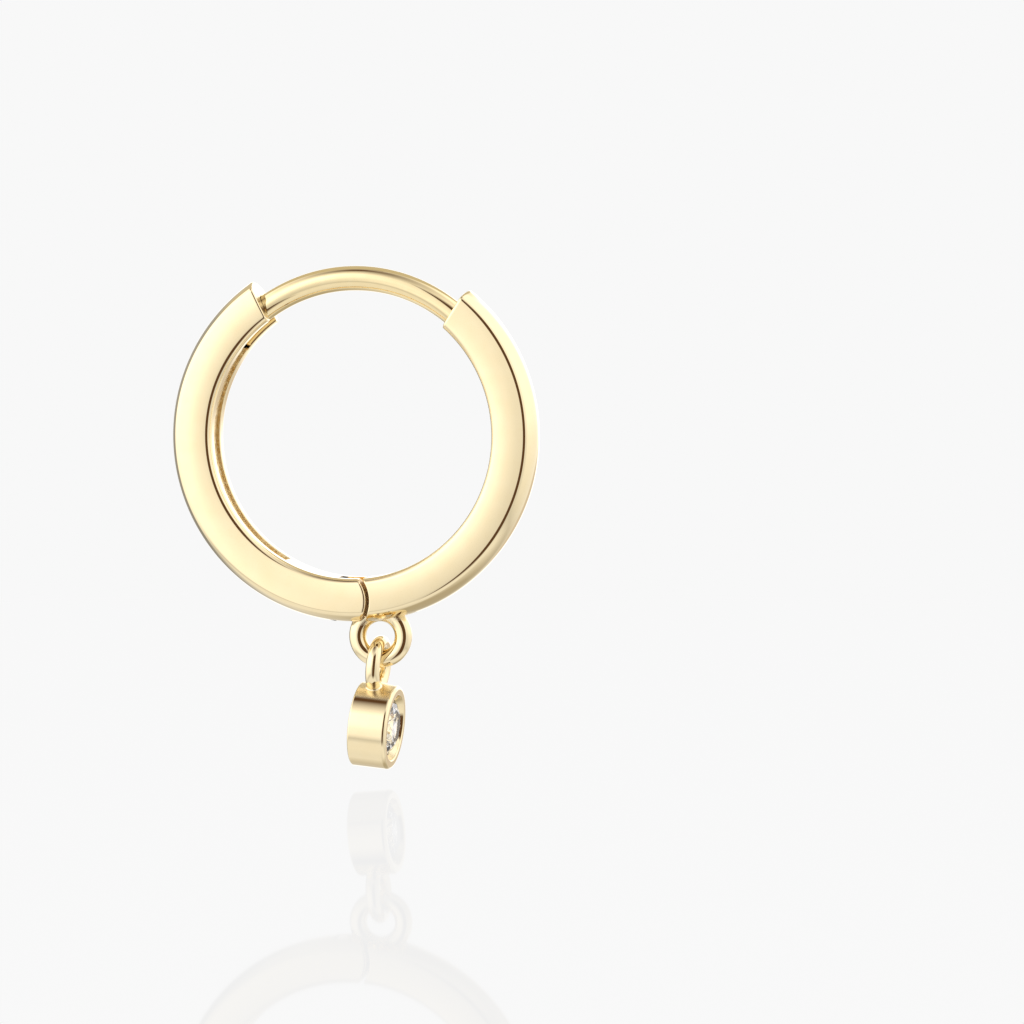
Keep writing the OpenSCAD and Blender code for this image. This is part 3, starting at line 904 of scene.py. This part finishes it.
# %% [markdown]
# ## Soft studio light
# Polished gold has no look of its own, it shows the room. The room here is a white tent that is brightest on
# the left of the camera and behind the earring. Two dark cloths hang in it, a tall one from the camera to its
# right and one overhead, and they draw the crisp brown lines along the polished edges. Three paler tan
# cloths, one low, one level and one high behind the earring, tone the rims that would mirror plain white.
# Turns are counted in degrees from the hoop's near side to the right, and rises from the horizon upwards.
# The camera itself sees plain white behind the earring.

# %% Tent of light round the earring
world = bpy.data.worlds.new("tent")
bpy.context.scene.world = world
world.use_nodes = True
tree = world.node_tree
tree.nodes.clear()
output = tree.nodes.new("ShaderNodeOutputWorld")
ray = add_node(tree, "ShaderNodeTexCoord")
axes = add_node(tree, "ShaderNodeSeparateXYZ", links={0: ray.outputs["Generated"]})
toward = add_node(tree, "ShaderNodeMath", {"operation": "MULTIPLY", 1: -1.0}, {0: axes.outputs["Y"]})
round_it = add_node(tree, "ShaderNodeMath", {"operation": "ARCTAN2"},
                    {0: axes.outputs["X"], 1: toward.outputs[0]})
turn_share = add_node(tree, "ShaderNodeMapRange", {"From Min": -math.pi, "From Max": math.pi},
                      {"Value": round_it.outputs[0]})
up = add_node(tree, "ShaderNodeMath", {"operation": "ARCSINE"}, {0: axes.outputs["Z"]})
up_share = add_node(tree, "ShaderNodeMapRange", {"From Min": -math.pi / 2, "From Max": math.pi / 2},
                    {"Value": up.outputs[0]})
DARK = (0.115, 0.06, 0.03)
LOW_TAN, LEVEL_TAN, HIGH_TAN = (0.5, 0.46, 0.38), (0.72, 0.64, 0.55), (0.66, 0.6, 0.46)
LOW_FROM, LOW_FULL = -20, -32
HALF = 0.5


def ramp(source, stops, low, high):
    """A colour ramp over an angle in degrees. Levels above one are halved here and doubled by the light."""
    made = add_node(tree, "ShaderNodeValToRGB", links={0: source})
    elements = made.color_ramp.elements
    for index, (angle, level) in enumerate(stops):
        share = (angle - low) / (high - low)
        stop_at = elements[index] if index < 2 else elements.new(share)
        stop_at.position = share
        stop_at.color = tuple(HALF * v for v in (level if isinstance(level, tuple) else (level,) * 3)) + (1,)
    return made.outputs["Color"]


sides = ramp(turn_share.outputs[0], [
    (-180, 1.5), (-160, 1.5), (-152, 0.36), (-125, 0.32), (-113, 1.0), (-95, 1.35), (-60, 1.45), (-27, 1.42),
    (-20, 1.35), (-11, 1.06), (-3, 0.9), (2, 0.86), (51, 1.0), (66, 0.9), (93, 1.1), (110, 1.12), (140, 1.08),
    (150, 1.1), (160, 1.5)], -180, 180)


def over(base, top, mask):
    """Lay one part of the tent over another."""
    made = add_node(tree, "ShaderNodeMix", {"data_type": "RGBA"}, {0: mask, 6: base})
    if isinstance(top, tuple):
        made.inputs[7].default_value = tuple(HALF * v for v in top) + (1,)
    else:
        tree.links.new(top, made.inputs[7])
    return made.outputs[2]


def patch(turn, rise, wide, core):
    """A soft round mask about a direction: full within the core, gone past its width, all in degrees."""
    turn, rise = math.radians(turn), math.radians(rise)
    middle = (math.sin(turn) * math.cos(rise), -math.cos(turn) * math.cos(rise), math.sin(rise))
    cosine = add_node(tree, "ShaderNodeVectorMath", {"operation": "DOT_PRODUCT", 1: middle},
                      {0: ray.outputs["Generated"]})
    off = add_node(tree, "ShaderNodeMath", {"operation": "ARCCOSINE"}, {0: cosine.outputs["Value"]})
    mask = add_node(tree, "ShaderNodeMapRange",
                    {"From Min": math.radians(wide), "From Max": math.radians(core)},
                    {"Value": off.outputs[0]})
    return mask.outputs[0]


low_part = ramp(up_share.outputs[0], [
    (-90, 0.78), (-75, 0.9), (-60, 0.97), (-42, 0.97), (-31, 0.7), (-22, 0.85)], -90, 90)
low_mask = add_node(tree, "ShaderNodeMapRange",
                    {"From Min": (90 + LOW_FROM) / 180, "From Max": (90 + LOW_FULL) / 180},
                    {"Value": up_share.outputs[0]})
heights = ramp(up_share.outputs[0], [(-22, 0.85), (-4, 1.0), (5, 1.15), (15, 1.22), (40, 1.25)], -90, 90)
lit = add_node(tree, "ShaderNodeVectorMath", {"operation": "MULTIPLY"}, {0: sides, 1: heights})
lit = add_node(tree, "ShaderNodeVectorMath", {"operation": "SCALE", "Scale": 1 / HALF}, {0: lit.outputs[0]})
tent = over(lit.outputs[0], low_part, low_mask.outputs[0])
tent = over(tent, LOW_TAN, patch(170, -51, 38, 14))
cloth_turn = ramp(turn_share.outputs[0], [(4, 0.0), (7, 2.0), (44, 2.0), (50, 0.0)], -180, 180)
cloth_rise = ramp(up_share.outputs[0], [(-50, 0.0), (-36, 2.0), (36, 2.0), (50, 0.0)], -90, 90)
cloth = add_node(tree, "ShaderNodeVectorMath", {"operation": "MULTIPLY"}, {0: cloth_turn, 1: cloth_rise})
tent = over(tent, DARK, cloth.outputs[0])
tent = over(tent, LEVEL_TAN, patch(162, -14, 14, 8))
tent = over(tent, DARK, patch(-40, 74, 42, 3))
tent = over(tent, HIGH_TAN, patch(200, 51, 36, 31))
seen = add_node(tree, "ShaderNodeLightPath")
tent_light = add_node(tree, "ShaderNodeBackground", {"Strength": 1 / HALF}, {"Color": tent})
backdrop = add_node(tree, "ShaderNodeBackground", {"Color": WHITE, "Strength": 1.0})
mixed = add_node(tree, "ShaderNodeMixShader", links={0: seen.outputs["Is Camera Ray"],
                                                     1: tent_light.outputs[0], 2: backdrop.outputs[0]})
tree.links.new(mixed.outputs[0], output.inputs["Surface"])
bpy.context.scene.view_settings.view_transform = "Standard"

# %% [markdown]
# ## Camera
# The photograph was taken from about a hand's width away, with the camera a little to the right of the
# hoop's side and level with it. The hoop stands left of the middle of the picture, so the camera looks past
# it on the right. A hundred-millimetre lens gives thirty pixels to the millimetre at that distance.

# %% Camera
AZIMUTH, ELEVATION, DISTANCE = 12.5, 0.7, 96.0
FOCAL, SENSOR = 101.25, 36
PIXELS = 1024
HOOP_PX = (355.0, 435.9)
focal_px = FOCAL / SENSOR * PIXELS
bpy.ops.object.select_all(action="DESELECT")
bpy.ops.object.camera_add()
camera = bpy.context.object
camera.data.lens = FOCAL
camera.data.sensor_width = SENSOR
camera.data.clip_start = 0.001
camera.data.clip_end = 10
a, e = math.radians(AZIMUTH), math.radians(ELEVATION)
camera.location = (HOOP_CENTRE + DISTANCE * Vector((math.sin(a) * math.cos(e), -math.cos(a) * math.cos(e),
                                                    math.sin(e)))) * MM
yaw = math.atan((PIXELS / 2 - HOOP_PX[0]) / focal_px)
pitch = math.atan((PIXELS / 2 - HOOP_PX[1]) / focal_px)
camera.rotation_euler = (math.pi / 2 - e - pitch, 0, a - yaw)
bpy.context.scene.camera = camera
print("camera in mm", [round(v / MM, 1) for v in camera.location])
